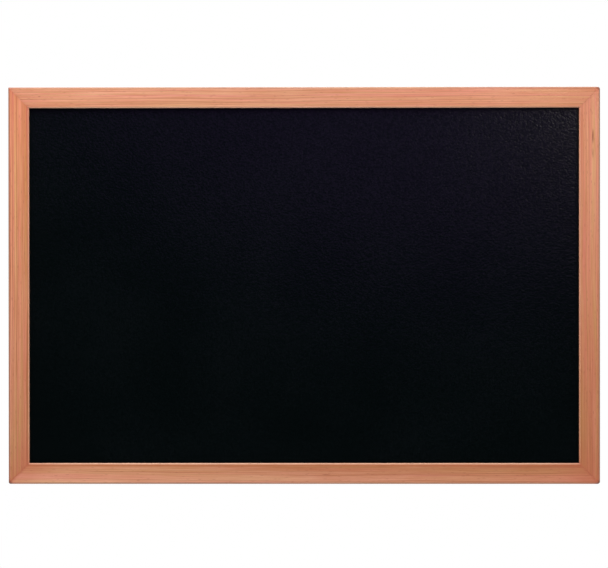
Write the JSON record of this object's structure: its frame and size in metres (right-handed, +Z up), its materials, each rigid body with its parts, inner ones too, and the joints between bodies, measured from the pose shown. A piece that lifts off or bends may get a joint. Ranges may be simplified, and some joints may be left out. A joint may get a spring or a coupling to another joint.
{
  "type": "wall chalkboard",
  "caption": "Rectangular black writing board in a mitred pinkish orange wooden frame, hung from the wall by two D rings.",
  "frame": {"origin": "on the wall plane, midway between the two points where the rings hang on their hooks", "axes": "+X to the right seen from the front, +Y into the wall, +Z up"},
  "size_m": [0.6, 0.0198, 0.4025],
  "materials": {
    "lacquered_wood": "satin lacquer over straight grain",
    "writing_black": "satin with a fine orange peel",
    "hardboard": "matt, screen backed",
    "spring_steel": "dull",
    "zinc_plated_steel": "bright zinc",
    "black_rubber": "matt"
  },
  "bodies": {
    "board": {"rail_top": "lacquered_wood", "rail_right": "lacquered_wood", "rail_bottom": "lacquered_wood", "rail_left": "lacquered_wood", "writing_surface": "writing_black", "panel_core": "hardboard", "corner_nail_top_right_outer": "spring_steel", "corner_nail_top_right_inner": "spring_steel", "corner_nail_bottom_right_outer": "spring_steel", "corner_nail_bottom_right_inner": "spring_steel", "corner_nail_bottom_left_outer": "spring_steel", "corner_nail_bottom_left_inner": "spring_steel", "corner_nail_top_left_outer": "spring_steel", "corner_nail_top_left_inner": "spring_steel", "panel_point_top_1": "spring_steel", "panel_point_top_2": "spring_steel", "panel_point_top_3": "spring_steel", "panel_point_right_1": "spring_steel", "panel_point_right_2": "spring_steel", "panel_point_bottom_1": "spring_steel", "panel_point_bottom_2": "spring_steel", "panel_point_bottom_3": "spring_steel", "panel_point_left_1": "spring_steel", "panel_point_left_2": "spring_steel", "hanger_strap_left": "zinc_plated_steel", "hanger_strap_right": "zinc_plated_steel", "hanger_screw_left": "zinc_plated_steel", "hanger_screw_right": "zinc_plated_steel", "wall_bumper_top_left": "black_rubber", "wall_bumper_top_right": "black_rubber", "wall_bumper_bottom_left": "black_rubber", "wall_bumper_bottom_right": "black_rubber"},
    "left_ring": {"hanger_ring_left": "zinc_plated_steel"},
    "right_ring": {"hanger_ring_right": "zinc_plated_steel"}
  },
  "joints": [
    {"name": "left_ring_swing", "type": "hinge", "parent": "board", "child": "left_ring", "pos_m": [-0.2925, -0.0024, -0.01085], "axis": [-1, 0, 0], "range_deg": [0, 180]},
    {"name": "right_ring_swing", "type": "hinge", "parent": "board", "child": "right_ring", "pos_m": [0.2925, -0.0024, -0.01085], "axis": [-1, 0, 0], "range_deg": [0, 180]}
  ]
}
